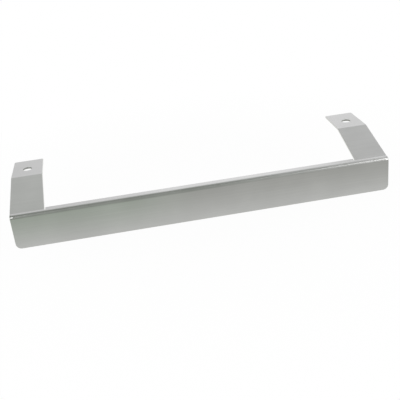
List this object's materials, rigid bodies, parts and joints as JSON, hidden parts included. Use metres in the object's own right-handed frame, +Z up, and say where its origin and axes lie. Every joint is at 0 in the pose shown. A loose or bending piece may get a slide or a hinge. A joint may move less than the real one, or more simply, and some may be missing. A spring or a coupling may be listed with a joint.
{
  "type": "refrigerator door handle",
  "caption": "Folded sheet-metal refrigerator door handle: a long grip flap below a narrow flange, with sloping end legs that rise to flat, drilled screw tabs.",
  "frame": {"origin": "midway between the screw holes, on the underside of the tabs, which seats on the door", "axes": "+X along the grip, to the right as seen from the front; +Y from the grip back towards the door; +Z up"},
  "size_m": [0.3, 0.0841, 0.0405],
  "materials": {
    "satin_stainless_steel": "satin"
  },
  "bodies": {
    "root": {"door_handle": "satin_stainless_steel"}
  },
  "joints": []
}
